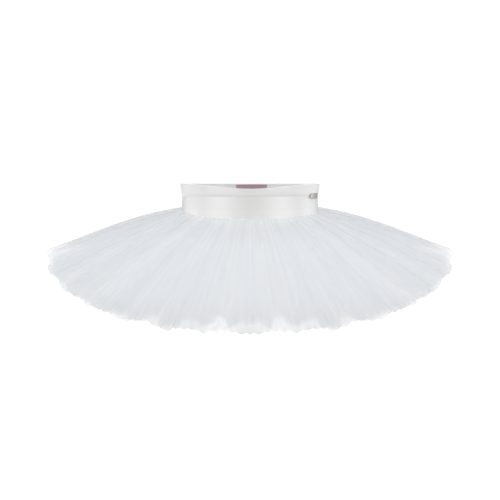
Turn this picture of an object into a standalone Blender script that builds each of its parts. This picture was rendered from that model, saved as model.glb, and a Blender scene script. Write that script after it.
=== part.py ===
"""A practice tutu: an elastic waistband, a stretch basque and five gathered layers of tulle.

Metres, +Z up. The origin is the centre of the waistband's top edge, where the wearer's waist holds the
garment. -Y is the front and +X is the wearer's left. Every cloth piece is a thin wall. The left and right
halves are mirror images, so each sheet is laid out for one half, mirrored, and then thickened.

Round the body a place is given by its turn: 0 at centre front, 90 degrees at the side, 180 at centre back.
What changes round the body is given by its value at the front, side and back, and runs smoothly between.
"""

import math
from collections import namedtuple

import bmesh
import bpy
from mathutils import Vector

# Waist and hips of a general adult figure, as the outside of the basque.
WAIST_HALF_WIDTH = 0.1390
WAIST_HALF_DEPTH = 0.1080
FigureStep = namedtuple("FigureStep", "below_top fuller_by")
FIGURE = (
    FigureStep(below_top=0.000, fuller_by=-0.0008),
    FigureStep(below_top=0.024, fuller_by=-0.0036),
    FigureStep(below_top=0.050, fuller_by=-0.0020),
    FigureStep(below_top=0.120, fuller_by=0.0080),
)

# Waistband: an elastic in a folded casing, whose top edge dips at centre front.
CASING_DEPTH = 0.0240
CASING_WALL = 0.0026
CASING_PROUD = 0.0008
FRONT_DIP = 0.0092
FRONT_DIP_SHARPNESS = 5

# Basque: a single stretch panel. Its visible part ends at the first row of gathers.
BASQUE_WALL = 0.0014
BASQUE_BELOW_LAST_ROW = 0.008
RoundBody = namedtuple("RoundBody", "front side back")
SEAM_BELOW_TOP = RoundBody(front=0.0660, side=0.0510, back=0.0420)

# Tulle: each layer is gathered on its own row, ROW_PITCH below the one above it.
TULLE_WALL = 0.0010
ROW_PITCH = 0.0090
DEGREES_OF_DROOP_AT_SEAM = RoundBody(front=32.5, side=15.0, back=2.0)
DEGREES_OF_DROOP_AT_HEM = RoundBody(front=41.0, side=24.0, back=18.0)
SQUARENESS = 0.54
TulleLayer = namedtuple("TulleLayer", "name length longer_at_sides hem_wave drift flick rings")
TULLE_LAYERS = (
    TulleLayer("tulle_layer_1_top", 0.279, 0.000, 0.0046, 0.00, 1.0, (0, 0.07, 0.36, 0.68, 1)),
    TulleLayer("tulle_layer_2", 0.268, 0.000, 0.0050, 0.35, 0.3, (0, 0.08, 0.54, 1)),
    TulleLayer("tulle_layer_3", 0.228, 0.030, 0.0050, -0.15, 0.0, (0, 0.09, 0.54, 1)),
    TulleLayer("tulle_layer_4", 0.216, 0.030, 0.0050, 0.25, 0.0, (0, 0.09, 0.54, 1)),
    TulleLayer("tulle_layer_5", 0.204, 0.030, 0.0050, -0.25, 0.0, (0, 0.10, 0.54, 1)),
)

# Waves: each layer flutes evenly along its gathers, which are packed closer on some stretches than others.
WAVES_A_LAYER = 36
FRONT_SHARPNESS = 4
COLUMNS_A_WAVE = 4
WAVE_GROWTH = 0.8
Ripple = namedtuple("Ripple", "depth times_round phase")
GATHER_PACKING = (Ripple(0.050, 2, -math.pi / 2), Ripple(0.018, 6, -math.pi / 2))
BOLDER_WAVES = (Ripple(0.22, 5, 0.6), Ripple(0.12, 9, -1.1))
LONGER_HEM = (Ripple(0.010, 11, math.pi),)

# Each side of the hem kicks up a little.
FLICK_HEIGHT = 0.0075
FLICK_LENGTH = 0.008
FLICK_TURN = math.radians(95.0)
FLICK_SPREAD = math.radians(8.0)
FLICK_GROWTH = 3

# Trim: a plain label inside centre back, and a plain plate on the wearer's left.
LABEL_WIDTH = 0.069
LABEL_DEPTH = 0.018
LABEL_BELOW_EDGE = 0.0018
LABEL_OFF_CENTRE = 0.0034
LABEL_WALL = 0.0010
PLATE_WIDTH = 0.032
PLATE_DEPTH = 0.0100
PLATE_TURN = math.radians(66.0)
PLATE_CURVE_RADIUS = 0.112
PLATE_CENTRE_BELOW_TOP = 0.0235
PLATE_WALL = 0.0012

SEAM_GAP = 0.0003
UP = Vector((0, 0, 1))
BAND_COLUMNS = 32
MERGE_WITHIN = 0.00005

WHITE_ELASTIC = ("white elastic casing", (0.80, 0.80, 0.80), 0.62, 0.0)
WHITE_STRETCH = ("white stretch knit", (0.82, 0.82, 0.82), 0.55, 0.0)
WHITE_TULLE = ("white tulle", (0.78, 0.81, 0.84), 0.75, 0.0)
MAUVE_WOVEN = ("mauve woven label", (0.33, 0.21, 0.26), 0.70, 0.0)
PEWTER = ("pewter plate", (0.30, 0.28, 0.26), 0.38, 1.0)


def between(low, high, share):
    return low + (high - low) * share


def round_body(value, turn):
    """The value at this turn, level at front, side and back and smooth between them."""
    tilt = (value.front - value.back) / 2
    bow = (value.front + value.back - 2 * value.side) / 4
    return value.side + bow + tilt * math.cos(turn) + bow * math.cos(2 * turn)


def clear_scene():
    for thing in list(bpy.data.objects):
        bpy.data.objects.remove(thing, do_unlink=True)


def material(finish):
    name, colour, roughness, metallic = finish
    made = bpy.data.materials.get(name) or bpy.data.materials.new(name)
    made.use_nodes = True
    shader = made.node_tree.nodes["Principled BSDF"]
    shader.inputs["Base Color"].default_value = (*colour, 1.0)
    shader.inputs["Roughness"].default_value = roughness
    shader.inputs["Metallic"].default_value = metallic
    return made


# The figure


def fuller_by(below_top):
    """How much wider than the waist's half sizes the figure is at this depth below the top edge."""
    for upper, lower in zip(FIGURE, FIGURE[1:]):
        if below_top <= lower.below_top:
            span = lower.below_top - upper.below_top
            share = (below_top - upper.below_top) / span
            return between(upper.fuller_by, lower.fuller_by, share)
    return FIGURE[-1].fuller_by


def outward(turn):
    """The unit vector square to the waist's oval at this turn, in plan."""
    return Vector(
        (math.sin(turn) / WAIST_HALF_WIDTH, -math.cos(turn) / WAIST_HALF_DEPTH, 0)
    ).normalized()


def body_point(turn, below_top, moved_out=0.0):
    """A point on the outside of the basque, or moved out from it."""
    wider = fuller_by(below_top)
    place = Vector(
        (
            (WAIST_HALF_WIDTH + wider) * math.sin(turn),
            -(WAIST_HALF_DEPTH + wider) * math.cos(turn),
            -below_top,
        )
    )
    return place + moved_out * outward(turn)


def top_edge(turn):
    """Depth of the casing's top edge below the origin: level but for the dip at centre front."""
    return FRONT_DIP * max(0.0, math.cos(turn)) ** FRONT_DIP_SHARPNESS


def skirt_seam(turn):
    """Depth of the first row of gathers: lowest at the front, highest at the back."""
    return round_body(SEAM_BELOW_TOP, turn)


# Sheets and walls


def half_turns(columns):
    return [math.pi * column / columns for column in range(columns + 1)]


def sheet_from_rows(name, rows):
    """An open sheet through rows of points. Its faces look up and outwards when rows run from the body out
    or from the top down, and each row runs from front to back."""
    mesh = bpy.data.meshes.new(name)
    cloth = bmesh.new()
    grid = [[cloth.verts.new(point) for point in row] for row in rows]
    for upper, lower in zip(grid, grid[1:]):
        for column in range(len(upper) - 1):
            cloth.faces.new(
                (upper[column], lower[column], lower[column + 1], upper[column + 1])
            )
    cloth.to_mesh(mesh)
    cloth.free()
    return bpy.data.objects.new(name, mesh)


def pin_to_middle(row):
    """Centre front and centre back lie exactly on the mirror's plane."""
    row[0].x = 0.0
    row[-1].x = 0.0
    return row


def mirror_left_to_right(sheet):
    mirror = sheet.modifiers.new("other half", "MIRROR")
    mirror.merge_threshold = MERGE_WITHIN


def thicken(sheet, wall, grows):
    """Gives a sheet its wall. grows is -1 to grow inwards, 1 outwards and 0 both ways."""
    solid = sheet.modifiers.new("wall", "SOLIDIFY")
    solid.thickness = wall
    solid.offset = grows
    solid.use_even_offset = True


def finish_piece(sheet, finish, collection):
    sheet.data.materials.append(material(finish))
    sheet.data.shade_smooth()
    collection.objects.link(sheet)
    return sheet


# The waistband and basque


def band_rows(levels, moved_out):
    """Rows of points round half the body, one row at each level. A level gives a depth for a turn."""
    turns = half_turns(BAND_COLUMNS)
    return [
        pin_to_middle([body_point(turn, level(turn), moved_out) for turn in turns])
        for level in levels
    ]


def make_casing(collection):
    """The elastic's casing, a band of cloth folded over at the top edge."""
    levels = (
        top_edge,
        lambda turn: (top_edge(turn) + CASING_DEPTH) / 2,
        lambda turn: CASING_DEPTH,
    )
    rows = band_rows(levels, moved_out=CASING_PROUD)
    casing = sheet_from_rows("waistband_casing", rows)
    mirror_left_to_right(casing)
    thicken(casing, CASING_WALL, grows=-1)
    return finish_piece(casing, WHITE_ELASTIC, collection)


def last_row_drop():
    return ROW_PITCH * (len(TULLE_LAYERS) - 1)


def basque_hem(turn):
    return skirt_seam(turn) + last_row_drop() + BASQUE_BELOW_LAST_ROW


def make_basque(collection):
    """The basque hangs from the casing and runs on under the skirt, where the layers are gathered to it."""
    levels = (
        lambda turn: CASING_DEPTH + SEAM_GAP,
        skirt_seam,
        lambda turn: skirt_seam(turn) + ROW_PITCH,
        basque_hem,
    )
    basque = sheet_from_rows("basque", band_rows(levels, moved_out=0.0))
    mirror_left_to_right(basque)
    thicken(basque, BASQUE_WALL, grows=-1)
    return finish_piece(basque, WHITE_STRETCH, collection)


# The tulle


def rippled(turn, ripples):
    """The sum of these ripples at this turn."""
    return sum(
        ripple.depth * math.cos(ripple.times_round * turn + ripple.phase)
        for ripple in ripples
    )


def nearness_to_flick(turn):
    """1 at the side where the hem kicks up, falling to 0 on either side of it."""
    away = (turn - FLICK_TURN) / FLICK_SPREAD
    return math.exp(-away * away)


def droop(turn, along):
    """Slope of the skirt below the level, in radians, at this share of its length from the seam."""
    at_seam = round_body(DEGREES_OF_DROOP_AT_SEAM, turn)
    at_hem = round_body(DEGREES_OF_DROOP_AT_HEM, turn)
    return math.radians(between(at_seam, at_hem, along))


def skirt_direction(turn):
    """The way the cloth leaves the body in plan: between square to the oval and straight from its centre."""
    radial = Vector(
        (WAIST_HALF_WIDTH * math.sin(turn), -WAIST_HALF_DEPTH * math.cos(turn), 0)
    ).normalized()
    return radial.lerp(outward(turn), SQUARENESS).normalized()


def layer_point(layer, drop, step, along):
    """A point of a tulle layer, at this step round the gathers and share of its length."""
    drifted = step + layer.drift / WAVES_A_LAYER * math.sin(step)
    turn = drifted + rippled(drifted, GATHER_PACKING)
    towards_side = 1 - max(0.0, math.cos(turn)) ** FRONT_SHARPNESS
    flick = layer.flick * nearness_to_flick(turn)
    length = layer.length * (1 + rippled(turn, LONGER_HEM))
    length += layer.longer_at_sides * towards_side + flick * FLICK_LENGTH
    reach = length * along
    slope_here = droop(turn, along)
    # The slope changes evenly from the seam, so the straight line to this place has the mean slope.
    slope = (droop(turn, 0.0) + slope_here) / 2
    direction = skirt_direction(turn)
    clear = SEAM_GAP + TULLE_WALL / 2 * abs(math.sin(droop(turn, 0.0)))
    start = body_point(turn, skirt_seam(turn) + drop, moved_out=clear)
    unruffled = start + reach * (math.cos(slope) * direction - math.sin(slope) * UP)
    away = math.cos(slope_here) * UP + math.sin(slope_here) * direction
    wave = layer.hem_wave * (1 + rippled(turn, BOLDER_WAVES)) * along**WAVE_GROWTH
    lift = flick * FLICK_HEIGHT * along**FLICK_GROWTH - wave * math.cos(WAVES_A_LAYER * step)
    return unruffled + lift * away


def make_tulle_layer(layer, drop, collection):
    """One strip of tulle, gathered along its inner edge and fluted at its hem."""
    steps = half_turns(WAVES_A_LAYER * COLUMNS_A_WAVE // 2)
    rows = [
        pin_to_middle([layer_point(layer, drop, step, along) for step in steps])
        for along in layer.rings
    ]
    tulle = sheet_from_rows(layer.name, rows)
    mirror_left_to_right(tulle)
    thicken(tulle, TULLE_WALL, grows=0)
    return finish_piece(tulle, WHITE_TULLE, collection)


# The trim


def patch_turns(centre_turn, width, half_size, columns):
    """Turns across a patch of this width, centred on a turn, where the oval's curve has this radius."""
    half_angle = width / 2 / half_size
    return [
        between(centre_turn - half_angle, centre_turn + half_angle, column / columns)
        for column in range(columns + 1)
    ]


def make_label(collection):
    """A woven label lying on the casing's inner face at the back, a little off centre."""
    inner_face = CASING_PROUD - CASING_WALL
    label_face = inner_face - SEAM_GAP
    centre_turn = math.pi - LABEL_OFF_CENTRE / WAIST_HALF_WIDTH
    turns = patch_turns(centre_turn, LABEL_WIDTH, WAIST_HALF_WIDTH, columns=8)
    rows = [
        [
            body_point(turn, below_top, moved_out=label_face)
            for turn in turns
        ]
        for below_top in (LABEL_BELOW_EDGE, LABEL_BELOW_EDGE + LABEL_DEPTH)
    ]
    label = sheet_from_rows("label", rows)
    thicken(label, LABEL_WALL, grows=-1)
    return finish_piece(label, MAUVE_WOVEN, collection)


def make_side_plate(collection):
    """A small plain plate curved to the band, over the seam between casing and basque."""
    turns = patch_turns(PLATE_TURN, PLATE_WIDTH, PLATE_CURVE_RADIUS, columns=4)
    face = CASING_PROUD + SEAM_GAP
    top = PLATE_CENTRE_BELOW_TOP - PLATE_DEPTH / 2
    rows = [
        [body_point(turn, below_top, moved_out=face) for turn in turns]
        for below_top in (top, top + PLATE_DEPTH)
    ]
    plate = sheet_from_rows("side_plate", rows)
    thicken(plate, PLATE_WALL, grows=1)
    return finish_piece(plate, PEWTER, collection)


def make_tutu():
    clear_scene()
    tutu = bpy.data.collections.new("practice tutu")
    bpy.context.scene.collection.children.link(tutu)
    make_casing(tutu)
    make_basque(tutu)
    for row, layer in enumerate(TULLE_LAYERS):
        make_tulle_layer(layer, ROW_PITCH * row, tutu)
    make_label(tutu)
    make_side_plate(tutu)


make_tutu()
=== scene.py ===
# %% [markdown]
# # A practice tutu
#
# A practice tutu is a stretch waistband, a short stretch basque (the yoke that sits on the hips) and strips
# of stiff net, each gathered on its own row of stitches. This lesson dresses a plain solid model of one:
# thin cloth in place of thick walls, hundreds of small gathers, and net that light passes through. The
# solid model is the frame. It is never moved, and every new piece lies on it.

import math
from collections import namedtuple

import bpy
import numpy as np
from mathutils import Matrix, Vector


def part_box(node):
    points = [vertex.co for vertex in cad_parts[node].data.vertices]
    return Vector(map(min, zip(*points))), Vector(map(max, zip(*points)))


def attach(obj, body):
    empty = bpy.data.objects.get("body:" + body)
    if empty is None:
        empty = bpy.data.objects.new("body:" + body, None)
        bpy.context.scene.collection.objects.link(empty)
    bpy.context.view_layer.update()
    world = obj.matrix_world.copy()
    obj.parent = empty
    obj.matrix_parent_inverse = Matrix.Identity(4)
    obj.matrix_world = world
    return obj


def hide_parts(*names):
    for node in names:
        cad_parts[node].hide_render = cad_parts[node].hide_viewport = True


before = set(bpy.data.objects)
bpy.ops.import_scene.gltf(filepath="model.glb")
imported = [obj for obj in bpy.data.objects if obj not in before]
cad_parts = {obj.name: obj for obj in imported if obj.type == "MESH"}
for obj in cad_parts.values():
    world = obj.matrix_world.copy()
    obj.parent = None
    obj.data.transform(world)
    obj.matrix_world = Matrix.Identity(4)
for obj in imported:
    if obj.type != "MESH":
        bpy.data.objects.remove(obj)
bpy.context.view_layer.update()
print("solids:", sorted(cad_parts))

# %% [markdown]
# ## The waist
#
# All sizes are in metres and all turns in radians, 0 at centre front and pi at centre back. A tutu is built
# up from its waist, which is an oval. The oval could be typed in again, but it is read from the casing's
# solid, so that the cloth always fits it.

# %% Waist sizes
casing_low, casing_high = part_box("waistband_casing")
WAIST_HALF_WIDTH = casing_high.x
WAIST_HALF_DEPTH = casing_high.y
CASING_DEPTH = -casing_low.z
print("waist oval", round(2 * WAIST_HALF_WIDTH, 3), "by", round(2 * WAIST_HALF_DEPTH, 3), "m")

# %% [markdown]
# ## The figure under the cloth
#
# Cloth takes its form from what it is on. A mesh of a body could stand in for that, but a tutu's basque is
# smooth and close to an oval, so a few helpers are enough: an oval that is a little wider or narrower at
# each depth. They work on whole numpy arrays at once, because the net has tens of thousands of points and a
# Python loop over them would be slow.

# %% Places on the figure
# Rows of (depth below the top edge, how much fuller the figure is there than the waist's oval).
FIGURE = ((0.000, -0.0008), (0.024, -0.0036), (0.050, -0.0020), (0.120, 0.0080))

RoundBody = namedtuple("RoundBody", "front side back")


def round_body(value, turn):
    """The value at this turn, level at front, side and back and smooth between them."""
    tilt = (value.front - value.back) / 2
    bow = (value.front + value.back - 2 * value.side) / 4
    return value.side + bow + tilt * np.cos(turn) + bow * np.cos(2 * turn)


def curve_at(place, rows):
    """The value at this place on straight lines through rows of (place, value)."""
    return np.interp(place, *np.array(rows).T)


def places(x, y, z):
    """One array of (x, y, z) from three that fit each other."""
    return np.stack(np.broadcast_arrays(x, y, z), axis=-1)


def unit(vectors):
    return vectors / np.linalg.norm(vectors, axis=-1, keepdims=True)


def outward(turn):
    """The direction square to the waist's oval, in plan."""
    return unit(places(np.sin(turn) / WAIST_HALF_WIDTH, -np.cos(turn) / WAIST_HALF_DEPTH, 0.0))


def body_places(turn, below_top, moved_out=0.0):
    """Places on the outside of the basque, or moved out from it."""
    wider = curve_at(below_top, FIGURE)
    on_body = places(
        (WAIST_HALF_WIDTH + wider) * np.sin(turn),
        -(WAIST_HALF_DEPTH + wider) * np.cos(turn),
        -below_top,
    )
    return on_body + np.asarray(moved_out)[..., None] * outward(turn)


print("centre front of the figure is at", body_places(0.0, 0.0).round(4))

# %% [markdown]
# ## From a grid of places to a mesh
#
# A sheet could start as one of Blender's own grids and be pushed into shape with modifiers. Here the places
# come from formulas, so each piece of cloth is a numpy grid: rows run away from the waist, and columns run
# round the body. `foreach_set` puts such an array into a mesh in one go, which is the fastest way. The grid
# also carries a UV map measured in metres of flat cloth, so that a pattern in a material can be given its
# real size.

# %% Cloth from a grid
CLOTH_MAP = "flat cloth in metres"


def quads_of(number):
    """The four corners of each cell of a grid of point numbers, facing out from the body."""
    corners = (number[:-1, :-1], number[1:, :-1], number[1:, 1:], number[:-1, 1:])
    return np.stack(corners, axis=-1).reshape(-1, 4)


def with_first_again(number, axis):
    """The grid of point numbers with its first row or column repeated, so that it closes on itself."""
    return np.concatenate([number, np.take(number, [0], axis=axis)], axis=axis)


def make_piece(name, points, quads, flat_at_corners):
    """A smooth object from points, quads, and the place on the flat cloth of every corner of every quad."""
    mesh = bpy.data.meshes.new(name)
    mesh.vertices.add(len(points))
    mesh.vertices.foreach_set("co", points.astype(np.float32).ravel())
    mesh.loops.add(quads.size)
    mesh.loops.foreach_set("vertex_index", quads.astype(np.int32).ravel())
    mesh.polygons.add(len(quads))
    mesh.polygons.foreach_set("loop_start", np.arange(0, quads.size, 4, dtype=np.int32))
    mesh.update(calc_edges=True)
    cloth_map = mesh.uv_layers.new(name=CLOTH_MAP)
    cloth_map.data.foreach_set("uv", flat_at_corners.astype(np.float32).ravel())
    mesh.shade_smooth()

    piece = bpy.data.objects.new(name, mesh)
    bpy.context.scene.collection.objects.link(piece)
    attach(piece, "root")
    print(name, "has", 2 * len(quads), "triangles")
    return piece


def make_cloth(name, grid, cloth_size, section_closes=False):
    """A piece that goes round the body, from a (rows, columns, 3) array and the flat cloth's size.

    The map runs from centre front to centre back on both sides, so no step shows where the grid closes.
    """
    rows, columns = grid.shape[:2]
    number = with_first_again(np.arange(rows * columns).reshape(rows, columns), axis=1)
    if section_closes:
        number = with_first_again(number, axis=0)

    share_round = np.linspace(0, 1, number.shape[1])
    across = cloth_size[0] * np.minimum(share_round, 1 - share_round)
    down = np.linspace(0, cloth_size[1], number.shape[0])
    flat = np.stack(np.meshgrid(across, down), axis=-1).reshape(-1, 2)
    flat_at_corners = flat[quads_of(np.arange(len(flat)).reshape(number.shape))]
    return make_piece(name, grid.reshape(-1, 3), quads_of(number), flat_at_corners)


print("a grid of 3 by 3 points has", len(quads_of(np.arange(9).reshape(3, 3))), "quads")

# %% [markdown]
# ## Colour and node helpers
#
# Colours are written as sRGB hex, the way a colour picker shows them. Shaders need linear values, so one
# function turns them. Material nodes can be joined by hand in the editor. In a script, one more function
# adds a node, sets its values and links its inputs.

# %% Colour and nodes
WHITE = (1, 1, 1, 1)


def linear(hex_colour):
    """Linear RGBA from an sRGB hex colour."""
    parts = [int(hex_colour[start : start + 2], 16) / 255 for start in (1, 3, 5)]
    return (*[p / 12.92 if p <= 0.04045 else ((p + 0.055) / 1.055) ** 2.4 for p in parts], 1.0)


def add_node(tree, kind, settings=None, inputs=None):
    """A node with its settings, and its inputs set to values or linked from other nodes' outputs."""
    node = tree.nodes.new(kind)
    for key, value in (settings or {}).items():
        setattr(node, key, value)
    for key, value in (inputs or {}).items():
        if isinstance(value, bpy.types.NodeSocket):
            tree.links.new(value, node.inputs[key])
        else:
            node.inputs[key].default_value = value
    return node


def new_material(name):
    """An empty material, and its node tree."""
    material = bpy.data.materials.new(name)
    material.use_nodes = True
    material.node_tree.nodes.clear()
    return material, material.node_tree


print("middle grey #808080 is", round(linear("#808080")[0], 3), "in linear light")

# %% [markdown]
# ## Camera
#
# The camera stands level with the waistband's top edge, so that the edge is seen as one straight line, and
# it is pitched down to bring the skirt to the middle. The whole camera could have been raised and tilted
# instead, but then the waist's opening would show as an oval.

# %% Camera
CAMERA_DISTANCE = 1.40
PITCH_DOWN = math.radians(5.45)
LENS_MM = 50
SENSOR_MM = 36

camera = bpy.data.objects.new("camera", bpy.data.cameras.new("camera"))
camera.data.lens = LENS_MM
camera.data.sensor_width = SENSOR_MM
camera.location = (0, -CAMERA_DISTANCE, 0)
camera.rotation_euler = (math.radians(90) - PITCH_DOWN, 0, 0)
scene = bpy.context.scene
scene.collection.objects.link(camera)
scene.camera = camera
print("camera", CAMERA_DISTANCE, "m in front of the waist")

# %% [markdown]
# ## White world
#
# One bright world would give a white background, but it would also light the net from all round and wash
# out its folds. A Light Path node splits it in two. The camera sees a world a little over full white, so
# that no noise shows in it, and the cloth is lit by a much dimmer one. Light passes through many plies of
# net, so the rays are allowed many bounces.

# %% World
FILL_GLOW = 0.17
BACKDROP_GLOW = 1.02
PLIES_A_RAY_MAY_CROSS = 64
BOUNCES = 24
SOFT_BOUNCES = 16

scene.view_settings.view_transform = "Standard"
scene.cycles.transparent_max_bounces = PLIES_A_RAY_MAY_CROSS
scene.cycles.max_bounces = BOUNCES
scene.cycles.diffuse_bounces = SOFT_BOUNCES
scene.cycles.transmission_bounces = SOFT_BOUNCES

world = bpy.data.worlds.new("white studio")
scene.world = world
world.use_nodes = True
sky = world.node_tree
sky.nodes.clear()
seen_by = add_node(sky, "ShaderNodeLightPath")
backdrop = add_node(sky, "ShaderNodeBackground", inputs={"Color": WHITE, "Strength": BACKDROP_GLOW})
fill = add_node(sky, "ShaderNodeBackground", inputs={"Color": WHITE, "Strength": FILL_GLOW})
either = add_node(
    sky,
    "ShaderNodeMixShader",
    inputs={0: seen_by.outputs["Is Camera Ray"], 1: fill.outputs[0], 2: backdrop.outputs[0]},
)
add_node(sky, "ShaderNodeOutputWorld", inputs={"Surface": either.outputs[0]})
print("world:", FILL_GLOW, "of white on the cloth")

# %% [markdown]
# ## Softboxes
#
# White net shows its folds only where light comes more from one side than from the other. Small lamps would
# draw hard lines on it, so all six are large squares turned to the skirt. The overhead one and the two in
# front shape the folds, the two at the sides keep the flanks bright, and a weak one behind lights the
# inside of the band.

# %% Lamps
LIT_PLACE = Vector((0, 0, -0.12))

SoftLamp = namedtuple("SoftLamp", "name place size watts")
SOFT_LAMPS = (
    SoftLamp("left front softbox", place=(-1.35, -1.5, 0.2), size=1.2, watts=14),
    SoftLamp("right front softbox", place=(1.35, -1.5, 0.2), size=1.2, watts=14),
    SoftLamp("back softbox", place=(0.0, 2.0, 0.4), size=1.4, watts=3),
    SoftLamp("left softbox", place=(-2.0, 0.3, 0.4), size=1.4, watts=12),
    SoftLamp("right softbox", place=(2.0, 0.3, 0.4), size=1.4, watts=12),
    SoftLamp("overhead softbox", place=(0.0, -0.5, 1.9), size=1.6, watts=22),
)
for lamp in SOFT_LAMPS:
    light = bpy.data.objects.new(lamp.name, bpy.data.lights.new(lamp.name, "AREA"))
    light.data.shape = "SQUARE"
    light.data.size = lamp.size
    light.data.energy = lamp.watts
    light.location = lamp.place
    light.rotation_euler = (LIT_PLACE - light.location).to_track_quat("-Z", "Y").to_euler()
    scene.collection.objects.link(light)
print(len(SOFT_LAMPS), "softboxes,", sum(lamp.watts for lamp in SOFT_LAMPS), "W in all")

# %% [markdown]
# ## Floor
#
# The floor is matt white paper, which spreads light evenly and has no gloss. It lies far below, so that no
# shadow falls behind the tutu. Some light has to come up from it, or the underside of the net would be
# grey. Its far part glows for that, and the whole of it is full white to the camera, like the world.

# %% Floor
FLOOR_BELOW_WAIST = 1.6
FLOOR_WIDTH = 40
FLOOR_GLOW = 0.90
GLOW_STARTS_BEHIND = 0.7
GLOW_IS_FULL_BEHIND = 1.9

bpy.ops.mesh.primitive_plane_add(size=FLOOR_WIDTH, location=(0, 0, -FLOOR_BELOW_WAIST))
floor = bpy.context.object
floor.name = "studio_floor"

paper, tree = new_material("white studio paper")
on_floor = add_node(tree, "ShaderNodeTexCoord")
each_way = add_node(tree, "ShaderNodeSeparateXYZ", inputs={0: on_floor.outputs["Object"]})
glow_behind = add_node(
    tree,
    "ShaderNodeMapRange",
    {"interpolation_type": "SMOOTHSTEP"},
    {
        "Value": each_way.outputs["Y"],
        "From Min": GLOW_STARTS_BEHIND,
        "From Max": GLOW_IS_FULL_BEHIND,
        "To Min": 0.0,
        "To Max": FLOOR_GLOW,
    },
)
seen_by = add_node(tree, "ShaderNodeLightPath")
glow = add_node(
    tree,
    "ShaderNodeMath",
    {"operation": "MAXIMUM"},
    {0: glow_behind.outputs[0], 1: seen_by.outputs["Is Camera Ray"]},
)
matt = add_node(
    tree,
    "ShaderNodeBsdfPrincipled",
    inputs={
        "Base Color": linear("#DCDCDC"),
        "Roughness": 0.9,
        "Emission Color": WHITE,
        "Emission Strength": glow.outputs[0],
    },
)
add_node(tree, "ShaderNodeOutputMaterial", inputs={"Surface": matt.outputs[0]})
floor.data.materials.append(paper)
print("pale floor", FLOOR_BELOW_WAIST, "m below the waist")

# %% [markdown]
# ## Nylon tulle
#
# Tulle is a fine hexagonal net of clear nylon thread, about 1 mm from hole to hole. Its holes could be cut
# in the mesh, but from a step away they are too small to see. What the eye gets is how much of the light
# each ply stops, here about half: two plies look like mist and ten look like snow. So the material lets the
# rest of each ray straight through. What it stops is half reflected and half let through as soft light,
# because the threads are clear. Nylon's index of refraction is close to the default 1.5, and its gloss is
# broken up by the knitting, so the roughness is high.
#
# Two things make the cover uneven. The net is drawn 1.6 mm from hole to hole, coarser than the real one and
# faint, because at 1 mm it would not show at all. And where gathers bunch the threads the net is denser,
# which draws the streaks that run down a tutu.

# %% Patterns in the net
NOISE_LOW, NOISE_HIGH = 0.25, 0.75
THREAD_STARTS, HOLE_STARTS = 0.05, 0.35
HEXAGONS_UNEVEN_BY = 0.25


def streaks(tree, cloth, width, length, detail):
    """Noise from 0 to 1, in cells this wide and long, in metres, along the fall of the cloth."""
    drawn_out = add_node(
        tree,
        "ShaderNodeMapping",
        inputs={"Vector": cloth.outputs[0], "Scale": (1 / width, 1 / length, 1.0)},
    )
    noise = add_node(
        tree,
        "ShaderNodeTexNoise",
        {"noise_dimensions": "2D"},
        {"Vector": drawn_out.outputs[0], "Scale": 1.0, "Detail": detail, "Roughness": 0.5},
    )
    return noise.outputs["Fac"]


def holes(tree, cloth, pitch):
    """A net with threads at the high end of the noise's range and holes at its low end."""
    cells = add_node(
        tree,
        "ShaderNodeTexVoronoi",
        {"voronoi_dimensions": "2D", "feature": "DISTANCE_TO_EDGE"},
        {"Vector": cloth.outputs[0], "Scale": 1 / pitch, "Randomness": HEXAGONS_UNEVEN_BY},
    )
    threads = add_node(
        tree,
        "ShaderNodeMapRange",
        inputs={
            "Value": cells.outputs["Distance"],
            "From Min": THREAD_STARTS,
            "From Max": HOLE_STARTS,
            "To Min": NOISE_HIGH,
            "To Max": NOISE_LOW,
        },
    )
    return threads.outputs[0]


def more_cover(tree, pattern, spread, so_far):
    """Cover so far, plus or minus up to the spread as the pattern goes through the noise's usual range."""
    change = add_node(
        tree,
        "ShaderNodeMapRange",
        inputs={
            "Value": pattern,
            "From Min": NOISE_LOW,
            "From Max": NOISE_HIGH,
            "To Min": -spread,
            "To Max": spread,
        },
    )
    total = add_node(
        tree,
        "ShaderNodeMath",
        {"operation": "ADD", "use_clamp": True},
        {0: so_far, 1: change.outputs[0]},
    )
    return total.outputs[0]


print("patterns are read from", NOISE_LOW, "to", NOISE_HIGH)

# %% White nylon tulle
TULLE_COVER = 0.50
NET_PITCH = 0.0016
NET_CONTRAST = 0.07
LET_THROUGH = 0.5

Streak = namedtuple("Streak", "width length detail contrast")
FINE_STREAK = Streak(width=0.012, length=1.20, detail=2.0, contrast=0.025)
BROAD_STREAK = Streak(width=0.070, length=2.00, detail=1.0, contrast=0.20)

nylon_tulle, tree = new_material("white nylon tulle")
cloth = add_node(tree, "ShaderNodeUVMap", {"uv_map": CLOTH_MAP})
cover = more_cover(tree, holes(tree, cloth, NET_PITCH), NET_CONTRAST, TULLE_COVER)
for streak in (FINE_STREAK, BROAD_STREAK):
    pattern = streaks(tree, cloth, streak.width, streak.length, streak.detail)
    cover = more_cover(tree, pattern, streak.contrast, cover)

reflected = add_node(
    tree,
    "ShaderNodeBsdfPrincipled",
    inputs={
        "Base Color": linear("#F9FAFC"),
        "Roughness": 0.75,
        "Sheen Weight": 0.05,
        "Sheen Roughness": 0.5,
        "Specular IOR Level": 0.25,
    },
)
let_through = add_node(tree, "ShaderNodeBsdfTranslucent", inputs={"Color": linear("#F8FAFC")})
thread = add_node(
    tree,
    "ShaderNodeMixShader",
    inputs={0: LET_THROUGH, 1: reflected.outputs[0], 2: let_through.outputs[0]},
)
hole = add_node(tree, "ShaderNodeBsdfTransparent")
ply = add_node(tree, "ShaderNodeMixShader", inputs={0: cover, 1: hole.outputs[0], 2: thread.outputs[0]})
add_node(tree, "ShaderNodeOutputMaterial", inputs={"Surface": ply.outputs[0]})
print("tulle stops about", round(100 * TULLE_COVER), "% of the light at each ply")

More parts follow.
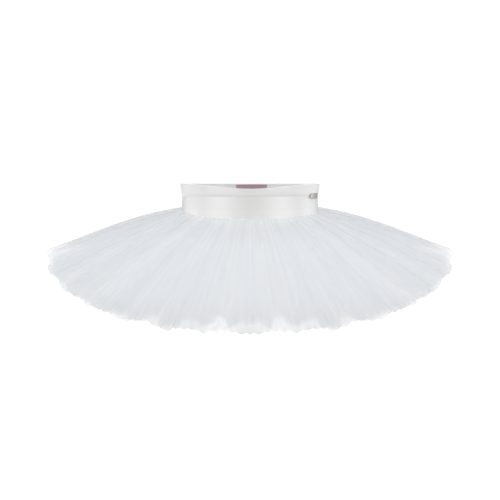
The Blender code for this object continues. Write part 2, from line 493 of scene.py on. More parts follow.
# %% [markdown]
# ## The skirt's fall
#
# Net this stiff is pushed out from the hips by its own gathers. Each strip leaves the basque at a slope
# that is steep at the front and almost level at the back, and droops a little more by its hem. A cloth
# simulation could find that fall, but five layers with hundreds of gathers would take it very long and be
# hard to steer. So the fall is worked out from a start on the basque, a direction in plan, and a slope.

# %% Direction and slope
SEAM_BELOW_TOP = RoundBody(front=0.0660, side=0.0510, back=0.0420)
DEGREES_OF_DROOP_AT_SEAM = RoundBody(front=32.5, side=15.0, back=2.0)
DEGREES_OF_DROOP_AT_HEM = RoundBody(front=41.0, side=24.0, back=18.0)
SQUARENESS = 0.54
UP = np.array((0.0, 0.0, 1.0))


def skirt_seam(turn):
    """How far the first row of gathers lies below the waistband's top."""
    return round_body(SEAM_BELOW_TOP, turn)


def skirt_direction(turn):
    """The net's way out in plan, between straight from the centre and square to the waist's oval."""
    from_centre = unit(places(WAIST_HALF_WIDTH * np.sin(turn), -WAIST_HALF_DEPTH * np.cos(turn), 0.0))
    return unit(from_centre * (1 - SQUARENESS) + outward(turn) * SQUARENESS)


def droop(turn, along):
    """The slope below level, in radians, at this share of the way to the hem."""
    at_seam = round_body(DEGREES_OF_DROOP_AT_SEAM, turn)
    at_hem = round_body(DEGREES_OF_DROOP_AT_HEM, turn)
    return np.radians(at_seam + (at_hem - at_seam) * along)


for side, turn in (("front", 0.0), ("side", math.pi / 2), ("back", math.pi)):
    print(f"the hem droops {math.degrees(droop(turn, 1.0)):.0f} degrees at the {side}")

# %% [markdown]
# ## Soft curves
#
# Hand-made gathers are never quite even. Noise textures can give that to a mesh, but they know nothing of
# where one fold ends and the next begins. Here every unevenness is a soft curve through a short list of
# random heights, from a numbered generator, so that the tutu comes out the same each time. All of it is
# worked out for one half of the body and mirrored.

# %% Helpers for folds
# Slow waves, in rows of (waves round the body, how strong), and for the flutes also where they start.
GATHERS_BUNCH = ((2, 0.05), (6, 0.018))
FLUTES_VARY = ((5, 0.22, 0.6), (9, 0.12, -1.1))

Place = namedtuple("Place", "turn spread")


def place_at(degrees, spread_degrees):
    return Place(math.radians(degrees), math.radians(spread_degrees))


def near(turn, place):
    """1 at a place round the body, and falling softly to 0 on both sides of it."""
    return np.exp(-(((turn - place.turn) / place.spread) ** 2))


def facing_front(turn):
    """1 at centre front, 0 from the side to the back."""
    return np.clip(np.cos(turn), 0, 1)


def gathers(step):
    """Turn of an evenly counted place along the gathers, which are not evenly spread."""
    turn = step
    for times_round, bunching in GATHERS_BUNCH:
        turn = turn + bunching * np.sin(times_round * step)
    return turn


def flute_strength(turn):
    strength = 1.0
    for times_round, change, starts_at in FLUTES_VARY:
        strength = strength + change * np.cos(times_round * turn + starts_at)
    return strength


def soft_curve(heights, step):
    """A smooth curve over the half turn through evenly spaced heights."""
    place = np.clip(step / math.pi, 0, 1) * (len(heights) - 1)
    before = np.minimum(place.astype(int), len(heights) - 2)
    share = place - before
    share = share * share * (3 - 2 * share)
    return heights[before] * (1 - share) + heights[before + 1] * share


half_turn = np.linspace(0, math.pi, 7)
print("a soft curve through 0, 1, 0:", soft_curve(np.array((0.0, 1.0, 0.0)), half_turn).round(2))

# %% [markdown]
# ## Pleats
#
# On the flutes of the solid model lie three sizes of pleat that only this lesson makes. Stitching draws the
# finest in at the seam. Further out they open and merge into broader ones, so each size has its own depth
# at the seam, halfway and at the hem. Plain sine waves would look machined. A pleat here folds up and down
# in turn, but with its own depth and width, and pleats come in loose bunches.

# %% Three sizes of pleat
Pleats = namedtuple("Pleats", "folds_in_half_turn at_seam halfway at_hem")
PLEATS = (
    Pleats(folds_in_half_turn=190, at_seam=0.0002, halfway=0.00005, at_hem=0.0001),
    Pleats(folds_in_half_turn=80, at_seam=0.0002, halfway=0.00015, at_hem=0.0005),
    Pleats(folds_in_half_turn=26, at_seam=0.0000, halfway=0.0019, at_hem=0.0034),
)
SHALLOWEST_PLEAT, DEEPEST_PLEAT = 0.35, 1.25
PLEAT_WANDER = 0.55
PLEATS_IN_A_WANDER = 3
PLEATS_IN_A_BUNCH = 5
LOOSE_BUNCH, TIGHTER_BY = 0.3, 1.7


def pleat_curve(draw, folds, step):
    """Pleats that fold up and down in turn, each with its own depth and width."""
    depths = draw.uniform(SHALLOWEST_PLEAT, DEEPEST_PLEAT, folds + 1) * (-1) ** np.arange(folds + 1)
    wander = draw.uniform(-1.0, 1.0, folds // PLEATS_IN_A_WANDER + 2)
    wander[[0, -1]] = 0.0
    bunches = LOOSE_BUNCH + TIGHTER_BY * draw.uniform(0, 1, folds // PLEATS_IN_A_BUNCH + 2) ** 2
    step_here = step + PLEAT_WANDER * math.pi / folds * soft_curve(wander, step)
    return soft_curve(bunches, step) * soft_curve(depths, step_here)


print("pleats in a half turn:", [pleats.folds_in_half_turn for pleats in PLEATS])

# %% [markdown]
# ## A hem trimmed by hand
#
# The hem of a practice tutu is cut with scissors once it is sewn, and left raw, so it is uneven at three
# sizes: where the cutter took more or less off, small waves, and teeth at the tips of the gathers. A
# straight hem with a rough texture would show as a ruled line. Two kinds of strip are cut. The fringe
# strips are long. The body strips end sooner and are longer at the sides, and at each side they part in a
# slit, where only the fringe strips are left and the net looks paler.

# %% Cut of the hems
StripKind = namedtuple("StripKind", "cut_length longer_at_sides cut teeth teeth_seed")
# The cut is in rows of (turn in degrees, how much longer the strip is there).
FRINGE = StripKind(
    cut_length=2.26,
    longer_at_sides=0.000,
    cut=(
        (0, 0.000), (3, 0.000), (4, -0.004), (6, 0.003), (7.5, -0.004), (9, -0.005), (13, -0.0055),
        (15, 0.000), (17, 0.002), (20, -0.001), (22, 0.006), (24, -0.002), (30, -0.002), (34, 0.004),
        (40, 0.003), (42, -0.001), (50, -0.003), (54, -0.010), (57, -0.007), (63, -0.008), (70, -0.003),
        (86, 0.000), (90, 0.003), (93, 0.008), (97, 0.007), (102, 0.002), (115, 0.000),
    ),
    teeth=0.0035,
    teeth_seed=31,
)
SLIT_CUT = ((93.0, 0.012), (94.2, -0.050), (98.4, -0.050), (99.7, 0.037))
BODY = StripKind(
    cut_length=2.08,
    longer_at_sides=0.030,
    cut=(
        (0, 0.003), (2, -0.004), (5, 0.008), (7, -0.006), (8.5, -0.016), (10, -0.010), (11, 0.000),
        (17, 0.002), (22, 0.010), (26, 0.008), (28, 0.000), (31, -0.002), (34, 0.008), (39, 0.000),
        (42, -0.002), (46, 0.006), (52, 0.006), (56, 0.003), (64, 0.005), (74, 0.004), (79, 0.014),
        (88, 0.018), *SLIT_CUT, (112, 0.028), (150, 0.012), (180, 0.006),
    ),
    teeth=0.0100,
    teeth_seed=32,
)
RAW_EDGE = 0.003
RAW_EDGE_WAVES = 50
TEETH_IN_HALF_TURN = 200
TEETH_LEFT_AT_SIDES = 0.1
SHORT_FRONT_SHARPNESS = 4
FLICK_PLACE = place_at(95.0, 8.0)
FLICK_LENGTH = 0.008


def towards_front(turn):
    return facing_front(turn) ** 2


def strip_length(layer, draw, step, turn):
    """The strip's length from seam to hem, all along its half."""
    raw_edge = RAW_EDGE * soft_curve(draw.uniform(-1, 1, RAW_EDGE_WAVES), step)
    teeth = np.random.default_rng(layer.kind.teeth_seed).uniform(-1, 1, TEETH_IN_HALF_TURN + 1)
    teeth_kept = TEETH_LEFT_AT_SIDES + (1 - TEETH_LEFT_AT_SIDES) * towards_front(turn)
    raw_edge = raw_edge + layer.kind.teeth * teeth_kept * soft_curve(teeth, step)
    length = layer.length + raw_edge + curve_at(np.degrees(turn), layer.kind.cut)
    length = length + layer.kind.longer_at_sides * (1 - facing_front(turn) ** SHORT_FRONT_SHARPNESS)
    return length + FLICK_LENGTH * layer.flick * near(turn, FLICK_PLACE)


print("the slit goes", round(SLIT_CUT[-1][1] - SLIT_CUT[1][1], 3), "m up from the hem behind it")

# %% [markdown]
# ## Folds
#
# All folds lift the net off its fall, or press it below. Each kind grows from nothing at the seam as a
# power of the way to the hem: a low power starts at once, a high one shows only near the hem. The main
# flutes come first, shallower just in front of the sides, where the net is pulled straighter. The tips
# flick up at the sides, the net sags behind them, and there the body strips lie raised, close under the
# fringe strips. Last come the pleats, and the crumples of the raw edge, which catch the light as fine
# teeth. A displacement texture could lift the net too, but it could not grow and fade by place like this.

# %% Lift of the folds
FLUTES_A_LAYER = 36
FLUTE_GROWTH = 0.8
LEAST_FLUTE, MOST_FLUTE = 0.65, 1.15
SHALLOW_FLUTES = place_at(74.0, 22.0)
SHALLOWER_BY = 0.45
FLICK_HEIGHT = 0.0075
FLICK_GROWTH = 2.2
SAG_PLACE = place_at(112.0, 12.0)
SAG_HEIGHT = 0.006
SAG_GROWTH = 3
# Rows of (turn in degrees, share of the layer's full rise).
RAISED_BEHIND = ((78, 0.0), (93, 0.38), (98, 1.0), (118, 1.0), (138, 0.0))
RAISED_GROWTH = 2
SMOOTH_SIDE = place_at(98.0, 38.0)
SMOOTHER_BY = 0.85
CRUMPLES_IN_HALF_TURN = 170
CRUMPLE_HEIGHT = 0.0032
CRUMPLE_GROWTH = 9


def fold_lift(layer, draw, step, step_here, turn, along):
    """How far the folds lift the net off its fall. step_here is the step that the pleats have wandered to."""
    fullness = soft_curve(draw.uniform(LEAST_FLUTE, MOST_FLUTE, FLUTES_A_LAYER + 1), step)
    shallower = 1 - SHALLOWER_BY * near(turn, SHALLOW_FLUTES)
    flute_height = layer.hem_wave * fullness * flute_strength(turn) * shallower * along**FLUTE_GROWTH
    lift = -flute_height * np.cos(FLUTES_A_LAYER * step)
    lift = lift + layer.flick * FLICK_HEIGHT * near(turn, FLICK_PLACE) * along**FLICK_GROWTH
    lift = lift - SAG_HEIGHT * near(turn, SAG_PLACE) * along**SAG_GROWTH
    lift = lift + layer.raised * curve_at(np.degrees(turn), RAISED_BEHIND) * along**RAISED_GROWTH

    smoother = 1 - SMOOTHER_BY * near(turn, SMOOTH_SIDE)
    for pleats in PLEATS:
        curve = pleat_curve(draw, pleats.folds_in_half_turn, step_here)
        depth = np.interp(along, (0, 0.5, 1), (pleats.at_seam, pleats.halfway, pleats.at_hem))
        lift = lift + layer.pleating * smoother * depth * curve
    crumples = pleat_curve(draw, CRUMPLES_IN_HALF_TURN, step_here)
    return lift + CRUMPLE_HEIGHT * towards_front(turn) * crumples * along**CRUMPLE_GROWTH


print("flutes are", 360 / FLUTES_A_LAYER, "degrees apart")

# %% [markdown]
# ## One gathered strip
#
# A strip's middle surface starts half a wall off the basque, where its solid does, and follows the fall out
# to the cut length. The fall's slope so far is the mean of its slopes at the seam and here. The folds are
# then added square to that slope, and the half is mirrored.

# %% Strip grid
SEAM_GAP = 0.0003
SOLID_TULLE_WALL = 0.0010
COLUMNS_IN_HALF = 760
TULLE_ROWS = 40
ROWS_CLOSE_UP_AT_HEM = 0.9
MEANDER = 0.006
MEANDER_WAVES = 24


def tulle_grid(layer, drop):
    """The places of one gathered strip, all round the body. Its two halves mirror each other."""
    draw = np.random.default_rng(layer.seed)
    step = np.linspace(0, math.pi, COLUMNS_IN_HALF + 1)[None, :]
    along = np.linspace(0, 1, TULLE_ROWS)[:, None] ** ROWS_CLOSE_UP_AT_HEM

    meander = MEANDER * soft_curve(draw.uniform(-1, 1, MEANDER_WAVES), step)
    step_here = np.clip(step + meander * along * np.sin(step), 0, math.pi)
    turn = gathers(step + layer.drift / FLUTES_A_LAYER * np.sin(step)) + 0 * along

    reach = (strip_length(layer, draw, step, turn) * along)[..., None]
    slope_here = droop(turn, along)[..., None]
    slope = (droop(turn, 0.0)[..., None] + slope_here) / 2
    direction = skirt_direction(turn)
    start = body_places(turn, skirt_seam(turn) + drop, SEAM_GAP + SOLID_TULLE_WALL / 2)
    unruffled = start + reach * (np.cos(slope) * direction - np.sin(slope) * UP)
    away = np.cos(slope_here) * UP + np.sin(slope_here) * direction

    half = unruffled + fold_lift(layer, draw, step, step_here, turn, along)[..., None] * away
    half[:, (0, -1), 0] = 0.0
    other_half = half[:, -2:0:-1] * np.array((-1.0, 1.0, 1.0))
    return np.concatenate([half, other_half], axis=1)


print("each strip is a grid of", TULLE_ROWS, "by", 2 * COLUMNS_IN_HALF, "places")

# %% [markdown]
# ## Five layers of tulle
#
# The upper two strips are the longest, so their last centimetres are only two plies deep and show as a
# pale, misty fringe. The three below end sooner and make the skirt's dense white body. One thick strip
# could stand for all five, but only separate plies get whiter as they cross. Each strip starts one row
# lower than the one above and is about that much shorter, and its flutes drift so that they don't line up.

# %% The tulle layers
ROW_PITCH = 0.0090

# Lengths and heights are in metres, drift is in flutes, and flick and pleating are shares of the full folds.
TulleLayer = namedtuple("TulleLayer", "node kind length hem_wave drift flick raised pleating seed")
TULLE_LAYERS = (
    TulleLayer("tulle_layer_1_top", FRINGE, 0.279, 0.0046, 0.00, 1.0, 0.000, 1.0, seed=11),
    TulleLayer("tulle_layer_2", FRINGE, 0.268, 0.0050, 0.35, 0.6, 0.008, 0.5, seed=12),
    TulleLayer("tulle_layer_3", BODY, 0.228, 0.0036, -0.15, 0.0, 0.016, 0.4, seed=13),
    TulleLayer("tulle_layer_4", BODY, 0.218, 0.0036, 0.25, 0.0, 0.023, 0.4, seed=14),
    TulleLayer("tulle_layer_5", BODY, 0.208, 0.0036, -0.25, 0.0, 0.030, 0.4, seed=15),
)
for row, layer in enumerate(TULLE_LAYERS):
    cut_width = layer.length + layer.kind.longer_at_sides
    cut_length = layer.kind.cut_length
    strip = make_cloth(f"{layer.node}_net", tulle_grid(layer, ROW_PITCH * row), (cut_length, cut_width))
    strip.data.materials.append(nylon_tulle)
    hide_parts(layer.node)

# %% [markdown]
# ## Walls with rounded edges
#
# The waistband and the basque are closed walls: a thin section, swept round the body. A bevel modifier
# could round a wall's edges, but the rounding is simple enough to be in the section itself. Both walls are
# grids too, and the same function makes them, with a section that closes on itself.

# %% Wall sections
EDGE_STEPS = 4
COLUMNS_ROUND = 720
TURNS_ROUND = np.linspace(0, 2 * math.pi, COLUMNS_ROUND + 1)[None, :-1]
TURNS_FROM_FRONT = np.minimum(TURNS_ROUND, 2 * math.pi - TURNS_ROUND)


def wall_section(top, bottom, wall, edge, side_steps):
    """Distances (below the top, in from the outer face) round a wall: down outside, up inside."""
    bend = np.linspace(0, math.pi / 2, EDGE_STEPS + 1)
    rise, run = edge * np.sin(bend), edge * np.cos(bend)
    outer_side = np.linspace(top + edge, bottom - edge, side_steps)[1:-1]
    below = [top + edge - rise[::-1], outer_side, bottom - edge + rise]
    inward = [edge - run[::-1], 0 * outer_side, edge - run]
    below = below + [part[::-1] for part in below[::-1]]
    inward = inward + [wall - part[::-1] for part in inward[::-1]]
    return np.concatenate(below)[:, None], np.concatenate(inward)[:, None]


print("walls have", COLUMNS_ROUND, "places round the body")

# %% [markdown]
# ## Knits
#
# The casing shows the ribs of its elastic, and the basque is stretch jersey, a nylon knit with elastane.
# Ribs could be modelled, but they are a fraction of a millimetre high, so a bump in the material is enough:
# upright ribs 1.6 mm apart on the elastic, and columns of stitches 0.9 mm apart on the jersey, which only
# show from close by. Both yarns are smooth nylon, so these knits are glossier than the net. Broad patches
# of two near whites keep them from looking like plastic. The inside face of the casing has a greyer copy of
# the elastic, which is painted shade for the inside of the band.

# %% Knit materials
RIB_PITCH, RIB_HEIGHT = 0.0016, 0.00012
STITCH_COLUMN_PITCH, STITCH_COLUMN_HEIGHT = 0.0009, 0.00006
PATCHES_A_METRE = 14.0


def wave_scale(pitch):
    """The Scale that gives a Wave Texture one band in each pitch. At Scale 1 they are pi / 10 apart."""
    return 1 / pitch / 20 * 2 * math.pi


def knit_material(name, colour, shading, pitch, height):
    material, tree = new_material(name)
    cloth = add_node(tree, "ShaderNodeUVMap", {"uv_map": CLOTH_MAP})
    ribs = add_node(
        tree,
        "ShaderNodeTexWave",
        {"wave_type": "BANDS", "bands_direction": "X", "wave_profile": "SIN"},
        {"Vector": cloth.outputs[0], "Scale": wave_scale(pitch), "Distortion": 0.6, "Detail": 1.0},
    )
    relief = add_node(
        tree,
        "ShaderNodeBump",
        inputs={"Height": ribs.outputs["Fac"], "Distance": height, "Strength": 0.6},
    )
    patches = add_node(
        tree,
        "ShaderNodeTexNoise",
        {"noise_dimensions": "2D"},
        {"Vector": cloth.outputs[0], "Scale": PATCHES_A_METRE, "Detail": 2.0},
    )
    tone = add_node(
        tree,
        "ShaderNodeMix",
        {"data_type": "RGBA"},
        {0: patches.outputs["Fac"], 6: linear(colour), 7: linear(shading)},
    )
    surface = add_node(
        tree,
        "ShaderNodeBsdfPrincipled",
        inputs={
            "Base Color": tone.outputs[2],
            "Roughness": 0.36,
            "Specular IOR Level": 1.0,
            "Sheen Weight": 0.1,
            "Sheen Roughness": 0.4,
            "Normal": relief.outputs[0],
        },
    )
    add_node(tree, "ShaderNodeOutputMaterial", inputs={"Surface": surface.outputs[0]})
    return material


ribbed_elastic = knit_material("white ribbed elastic", "#F9F9F8", "#F4F4F2", RIB_PITCH, RIB_HEIGHT)
# A darker copy of the elastic for the casing's inside face. Its colour is painted shade for the inside of the
# band.
painted_shade_elastic = knit_material("elastic darkened with painted shade", "#E4E4E1", "#DDDDD9", RIB_PITCH, RIB_HEIGHT)
stretch_jersey = knit_material(
    "white stretch jersey", "#F1F1F0", "#E9E9E7", STITCH_COLUMN_PITCH, STITCH_COLUMN_HEIGHT
)
print("the elastic has", round(0.001 / RIB_PITCH, 2), "ribs in a millimetre")

# %% [markdown]
# ## Waistband
#
# A waistband's casing is one strip folded over an elastic and sewn down along its lower edge. Two plies and
# an elastic could be three meshes, but nothing shows of what is inside, so one wall stands for all. Its top
# edge dips at the front. Its lower edge is pressed flat by the stitches and laps a little over the basque.

# %% Casing
CASING_WALL = 0.0026
CASING_PROUD = 0.0008
CASING_EDGE = 0.0008
CASING_LAPS_BASQUE = 0.0002
FRONT_DIP = 0.0092
FRONT_DIP_SHARPNESS = 5
PRESSED_FLAT = 0.0005
PRESSED_REACH = 0.004
INNER_FACE_STARTS = 0.9
WAIST_LENGTH = 0.78


def dress(piece, node, material):
    """Give a knit piece its material, and hide the solid that it stands for."""
    piece.data.materials.append(material)
    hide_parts(node)


section_below, section_inward = wall_section(
    0.0, CASING_DEPTH + CASING_LAPS_BASQUE, CASING_WALL, CASING_EDGE, side_steps=12
)
dip = FRONT_DIP * facing_front(TURNS_FROM_FRONT) ** FRONT_DIP_SHARPNESS
casing_below = dip + section_below * (CASING_DEPTH - dip) / CASING_DEPTH
on_outer_face = section_inward < CASING_WALL / 2
above_lower_edge = (CASING_DEPTH - casing_below) / PRESSED_REACH
pressed = PRESSED_FLAT * np.clip(1 - above_lower_edge, 0, 1) * on_outer_face
casing_out = CASING_PROUD - pressed - section_inward
casing_grid = body_places(TURNS_ROUND + 0 * casing_below, casing_below, casing_out)
casing = make_cloth(
    "waistband_casing_cloth", casing_grid, (WAIST_LENGTH, 2 * CASING_DEPTH), section_closes=True
)
dress(casing, "waistband_casing", ribbed_elastic)

on_inner_face = np.repeat(section_inward[:, 0] > INNER_FACE_STARTS * CASING_WALL, COLUMNS_ROUND)
# The inside face takes the darker copy of the elastic, which is painted shade for the inside of the band.
casing.data.materials.append(painted_shade_elastic)
casing.data.polygons.foreach_set("material_index", on_inner_face.astype(np.int32))

# %% [markdown]
# ## Basque
#
# The basque is a tube of jersey stretched over the hips. Its top is tucked up inside the casing, as it is
# in the real seam, so no gap shows between the two. Near the first row of tulle it puckers a little,
# because the gathering stitches pull on it. Those puckers are a quarter of a millimetre deep, and they are
# real dents, since they show against the light.

# %% Basque
BASQUE_WALL = 0.0010
BASQUE_BELOW_FIRST_ROW = 0.044
BASQUE_BOTH_FACES = 0.17
TUCKED_UNDER_CASING = 0.0010
PUCKERS_IN_HALF_TURN = 70
PUCKER_DEPTH = 0.00025
PUCKER_REACH = 0.012
PUCKER_SEED = 21

basque_bottom = skirt_seam(TURNS_FROM_FRONT) + BASQUE_BELOW_FIRST_ROW
basque_top = CASING_DEPTH - TUCKED_UNDER_CASING
section_share, section_inward = wall_section(0.0, 1.0, BASQUE_WALL, BASQUE_WALL / 2, side_steps=60)
basque_below = basque_top + section_share * (basque_bottom - basque_top)
near_seam = np.exp(-(((basque_below - skirt_seam(TURNS_FROM_FRONT)) / PUCKER_REACH) ** 2))
pull = np.random.default_rng(PUCKER_SEED).uniform(-1, 0, PUCKERS_IN_HALF_TURN)
puckers = PUCKER_DEPTH * near_seam * soft_curve(pull, TURNS_FROM_FRONT)
basque_grid = body_places(TURNS_ROUND + 0 * basque_below, basque_below, puckers - section_inward)
basque = make_cloth("basque_cloth", basque_grid, (WAIST_LENGTH, BASQUE_BOTH_FACES), section_closes=True)
dress(basque, "basque", stretch_jersey)

# %% [markdown]
# ## Stitches
#
# A stitch is a short thread that rises out of the cloth, arches over it and goes back in. An array modifier
# could repeat one, but it would not follow the oval. So one template, rings of points along an arch, is
# placed along each row, and a row of hundreds is still one array and one mesh.

# %% Rows of stitches
STITCH_RINGS = np.array((-0.50, -0.42, -0.20, 0.0, 0.20, 0.42, 0.50))
STITCH_RING_SIZES = np.array((0.25, 0.8, 1.0, 1.0, 1.0, 0.8, 0.25))
STITCH_SIDES = 6
STITCH_ARCH = 1.2
STITCH_SUNK = 0.4
THREAD_RADIUS = 0.00022


def stitch_mesh_parts(centres, along, out, length):
    """Points and quads of one stitch at each centre. The first three are (stitches, 3) arrays."""
    across = np.cross(out, along)
    spin = np.linspace(0, 2 * math.pi, STITCH_SIDES, endpoint=False)
    arch = THREAD_RADIUS * (STITCH_ARCH * np.cos(math.pi * STITCH_RINGS) - STITCH_SUNK)
    forward = np.repeat(STITCH_RINGS * length, STITCH_SIDES)
    sideways = np.outer(STITCH_RING_SIZES * THREAD_RADIUS, np.cos(spin)).ravel()
    upward = (np.outer(STITCH_RING_SIZES * THREAD_RADIUS, np.sin(spin)) + arch[:, None]).ravel()
    points = (
        centres[:, None]
        + forward[None, :, None] * along[:, None]
        + sideways[None, :, None] * across[:, None]
        + upward[None, :, None] * out[:, None]
    )
    number = np.arange(len(STITCH_RINGS) * STITCH_SIDES).reshape(-1, STITCH_SIDES)
    quads = quads_of(with_first_again(number, axis=1))
    first_points = np.arange(len(centres))[:, None, None] * len(forward)
    return points.reshape(-1, 3), (quads[None] + first_points).reshape(-1, 4)


def make_stitches(name, rows, material):
    """One object from rows of stitches. Each row gives its places, and the direction out of the cloth."""
    all_points, all_quads, so_far = [], [], 0
    for row in rows:
        points, quads = stitch_mesh_parts(*row)
        all_points.append(points)
        all_quads.append(quads + so_far)
        so_far += len(points)
    quads = np.concatenate(all_quads)
    piece = make_piece(name, np.concatenate(all_points), quads, np.zeros((quads.size, 2)))
    piece.data.materials.append(material)


print("thread is", round(2000 * THREAD_RADIUS, 2), "mm thick")

# %% [markdown]
# ## Polyester thread
#
# Sewing thread is spun polyester, a shade less white than the net. Its twist is far below what shows, so
# the material is plain: a colour, the soft gloss of spun fibre, and a little sheen. Its index of refraction
# is about 1.6, which at this size looks no different from the default.

# %% White polyester thread
polyester_thread, tree = new_material("white polyester thread")
surface = add_node(
    tree,
    "ShaderNodeBsdfPrincipled",
    inputs={"Base Color": linear("#F4F4F2"), "Roughness": 0.4, "Sheen Weight": 0.1},
)
add_node(tree, "ShaderNodeOutputMaterial", inputs={"Surface": surface.outputs[0]})
print("made", polyester_thread.name)

# %% [markdown]
# ## Two rows that hold the casing
#
# A coverstitch machine sews two even rows along the casing's lower edge. Even turns of the oval would bunch
# the stitches at the sides, so their places are measured off along the cloth.

# %% Casing coverstitch
STITCHES_ROUND = 260
STITCH_LENGTH = 0.0026
MEASURING_STEPS = 4001
A_LITTLE_FURTHER_ROUND = 0.001

CoverstitchRow = namedtuple("CoverstitchRow", "above_lower_edge pressed_in")
COVERSTITCH_ROWS = (CoverstitchRow(0.0026, 0.0002), CoverstitchRow(0.0056, 0.0))


def even_turns(count, below_top):
    """Turns that are evenly spaced along the cloth, not evenly in angle."""
    turns = np.linspace(0, 2 * math.pi, MEASURING_STEPS)
    steps = np.linalg.norm(np.diff(body_places(turns, below_top), axis=0), axis=-1)
    walked = np.concatenate([[0.0], np.cumsum(steps)])
    return np.interp((np.arange(count) + 0.5) / count * walked[-1], walked, turns)


def row_round_body(below_top, moved_out):
    turns = even_turns(STITCHES_ROUND, below_top)
    centres = body_places(turns, below_top, moved_out + 0 * turns)
    ahead = body_places(turns + A_LITTLE_FURTHER_ROUND, below_top, moved_out + 0 * turns)
    return centres, unit(ahead - centres), outward(turns), STITCH_LENGTH


casing_rows = [
    row_round_body(CASING_DEPTH - row.above_lower_edge, CASING_PROUD - row.pressed_in)
    for row in COVERSTITCH_ROWS
]
make_stitches("casing_coverstitch", casing_rows, polyester_thread)

# %% [markdown]
# ## Small slabs
#
# The label and the plate are both small slabs with rounded corners, bent to the band. A bevelled cube would
# do for a flat one. Here a slab is a grid of rounded outlines, each a little smaller than the one before
# it, and a function places each point, so that the slab bends with the band and its edges are soft.

# %% Slab helper
OUTLINE_STEPS = 8
SLAB_EDGE_STEPS = 4
FACE_RINGS = 8
SMALLEST_RING = 0.002


def rounded_outline(width, depth, corner):
    """Points (across, down) round a rectangle with round corners, centred on 0."""
    bend = np.linspace(0, math.pi / 2, OUTLINE_STEPS)
    corners = []
    for quarter, (right, low) in enumerate(((1, 1), (-1, 1), (-1, -1), (1, -1))):
        spin = bend + quarter * math.pi / 2
        across = right * (width / 2 - corner) + corner * np.cos(spin)
        down = low * (depth / 2 - corner) + corner * np.sin(spin)
        corners.append(np.stack([across, down], axis=-1))
    return np.concatenate(corners)


def make_slab(name, size, corner, wall, edge, place):
    """A closed slab. place(across, down, height) gives the places of its points."""
    bend = np.linspace(0, math.pi / 2, SLAB_EDGE_STEPS)
    inset = np.concatenate([edge - edge * np.sin(bend), (edge - edge * np.sin(bend))[::-1]])
    height = np.concatenate([edge - edge * np.cos(bend), (wall - edge + edge * np.cos(bend))[::-1]])
    rings = [rounded_outline(size[0] - 2 * step, size[1] - 2 * step, corner - step) for step in inset]
    shrink = np.linspace(SMALLEST_RING, 1, FACE_RINGS + 1)[:-1]
    back = [rings[0] * share for share in shrink]
    front = [rings[-1] * share for share in shrink[::-1]]
    outlines = np.stack(back + rings + front)
    heights = np.concatenate([0 * shrink + height[0], height, 0 * shrink + height[-1]])[:, None]

    rows, columns = outlines.shape[:2]
    quads = quads_of(with_first_again(np.arange(rows * columns).reshape(rows, columns), axis=1))
    points = place(outlines[..., 0], outlines[..., 1], heights).reshape(-1, 3)
    return make_piece(name, points, quads, outlines.reshape(-1, 2)[quads])


print("an outline has", len(rounded_outline(1.0, 1.0, 0.1)), "points")

# %% [markdown]
# ## Mauve satin
#
# Satin's long floating threads all lie one way, which gives it a soft gloss and a sheen at grazing angles.
# The weft's ridges are a twentieth of a millimetre high, so they are a bump. A real weft is finer than 0.3
# mm. Here it is drawn 0.63 mm apart, or it would not show at all.

# %% Mauve woven satin
WEFT_PITCH = 0.000628
WEFT_HEIGHT = 0.00005

satin, tree = new_material("mauve woven satin")
cloth = add_node(tree, "ShaderNodeUVMap", {"uv_map": CLOTH_MAP})
weft = add_node(
    tree,
    "ShaderNodeTexWave",
    {"wave_type": "BANDS", "bands_direction": "Y", "wave_profile": "SIN"},
    {"Vector": cloth.outputs[0], "Scale": wave_scale(WEFT_PITCH), "Distortion": 0.4},
)
relief = add_node(
    tree,
    "ShaderNodeBump",
    inputs={"Height": weft.outputs["Fac"], "Distance": WEFT_HEIGHT, "Strength": 0.5},
)
surface = add_node(
    tree,
    "ShaderNodeBsdfPrincipled",
    inputs={
        "Base Color": linear("#B194A3"),
        "Roughness": 0.42,
        "Sheen Weight": 0.2,
        "Normal": relief.outputs[0],
    },
)
add_node(tree, "ShaderNodeOutputMaterial", inputs={"Surface": surface.outputs[0]})
print("the weft's threads are", round(1000 * WEFT_PITCH, 2), "mm apart")

# %% [markdown]
# ## Woven label
#
# A garment's label is a narrow satin ribbon, woven from polyester and sewn down at both ends. This one is
# blank. It lies inside centre back on the casing's inner face, a hair off centre, as sewn labels do.

# %% Label
LABEL_SIZE = (0.069, 0.018)
LABEL_BELOW_EDGE = 0.0018
LABEL_OFF_CENTRE = 0.0034
LABEL_WALL = 0.0008
LABEL_CORNER = 0.0012
LABEL_SUNK = 0.0001
SOFT_EDGE = 0.0004
LABEL_FACE = CASING_PROUD - CASING_WALL - LABEL_SUNK


def label_turn(across):
    return math.pi - (LABEL_OFF_CENTRE + across) / WAIST_HALF_WIDTH


def label_place(across, down, height):
    below_top = LABEL_BELOW_EDGE + LABEL_SIZE[1] / 2 + down
    return body_places(label_turn(across), below_top, LABEL_FACE - height)


label = make_slab("woven_label", LABEL_SIZE, LABEL_CORNER, LABEL_WALL, SOFT_EDGE, label_place)
label.data.materials.append(satin)
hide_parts("label")

# %% [markdown]
# ## Label stitches
#
# A short upright row of stitches holds each end of the label. They are the same thread and the same
# template as the casing's.

# %% Stitches on the label
LABEL_STITCHES = 7
LABEL_STITCH_LENGTH = 0.0019
IN_FROM_LABEL_END = 0.0022
A_LITTLE_LOWER = 0.001


def label_stitch_row(side):
    """Upright stitches down one end of the label."""
    down = (np.arange(LABEL_STITCHES) + 0.5) / LABEL_STITCHES * LABEL_SIZE[1] - LABEL_SIZE[1] / 2
    across = side * (LABEL_SIZE[0] / 2 - IN_FROM_LABEL_END) + 0 * down
    centres = label_place(across, down, LABEL_WALL)
    lower = label_place(across, down + A_LITTLE_LOWER, LABEL_WALL)
    return centres, unit(lower - centres), -outward(label_turn(across)), LABEL_STITCH_LENGTH


label_rows = [label_stitch_row(side) for side in (-1, 1)]
make_stitches("label_stitches", label_rows, polyester_thread)

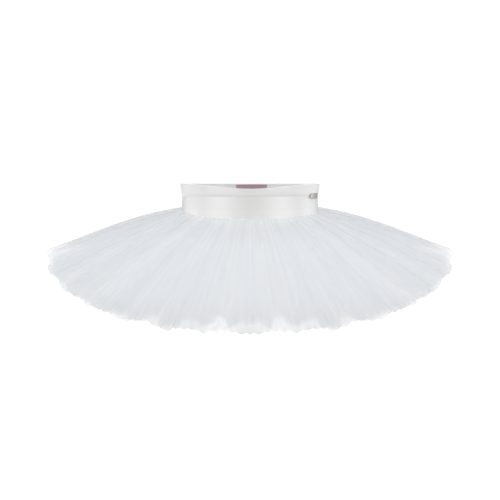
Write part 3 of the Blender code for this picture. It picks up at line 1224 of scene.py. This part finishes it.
# %% [markdown]
# ## Brushed pewter
#
# Pewter is a soft tin alloy, warmer and duller than steel, so its colour is a light warm grey and its
# metallic is 1, with the default index of refraction. It was brushed along its length with a fine grit.
# That leaves scratches 0.2 mm apart and about 8 mm long, which spread the light into a satin gloss.

# %% Pewter
SCRATCH_LENGTH = 0.00833
SCRATCH_PITCH = 0.0002
SCRATCH_DEPTH = 0.00003

pewter, tree = new_material("brushed pewter")
face = add_node(tree, "ShaderNodeUVMap", {"uv_map": CLOTH_MAP})
brushed = add_node(
    tree,
    "ShaderNodeMapping",
    inputs={"Vector": face.outputs[0], "Scale": (1 / SCRATCH_LENGTH, 1 / SCRATCH_PITCH, 1.0)},
)
scratches = add_node(
    tree,
    "ShaderNodeTexNoise",
    {"noise_dimensions": "2D"},
    {"Vector": brushed.outputs[0], "Scale": 1.0, "Detail": 3.0},
)
relief = add_node(
    tree,
    "ShaderNodeBump",
    inputs={"Height": scratches.outputs["Fac"], "Distance": SCRATCH_DEPTH, "Strength": 0.4},
)
surface = add_node(
    tree,
    "ShaderNodeBsdfPrincipled",
    inputs={
        "Base Color": linear("#B1ACA6"),
        "Metallic": 1.0,
        "Roughness": 0.38,
        "Normal": relief.outputs[0],
    },
)
add_node(tree, "ShaderNodeOutputMaterial", inputs={"Surface": surface.outputs[0]})
print("scratches are", round(1000 * SCRATCH_PITCH, 2), "mm apart")

# %% [markdown]
# ## Side plate
#
# A small plain plate sits at the wearer's left, over the seam of casing and basque. A flat plate would
# stand proud of the round hip at its ends, so this one is bent to it.

# %% Plate
PLATE_SIZE = (0.032, 0.0100)
PLATE_TURN = math.radians(66.0)
PLATE_CURVE_RADIUS = 0.112
PLATE_CENTRE_BELOW_TOP = 0.0235
PLATE_WALL = 0.0012
PLATE_CORNER = 0.0016


def plate_place(across, down, height):
    turn = PLATE_TURN + across / PLATE_CURVE_RADIUS
    return body_places(turn, PLATE_CENTRE_BELOW_TOP + down, CASING_PROUD + SEAM_GAP + height)


plate = make_slab("side_plate_metal", PLATE_SIZE, PLATE_CORNER, PLATE_WALL, SOFT_EDGE, plate_place)
plate.data.materials.append(pewter)
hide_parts("side_plate")
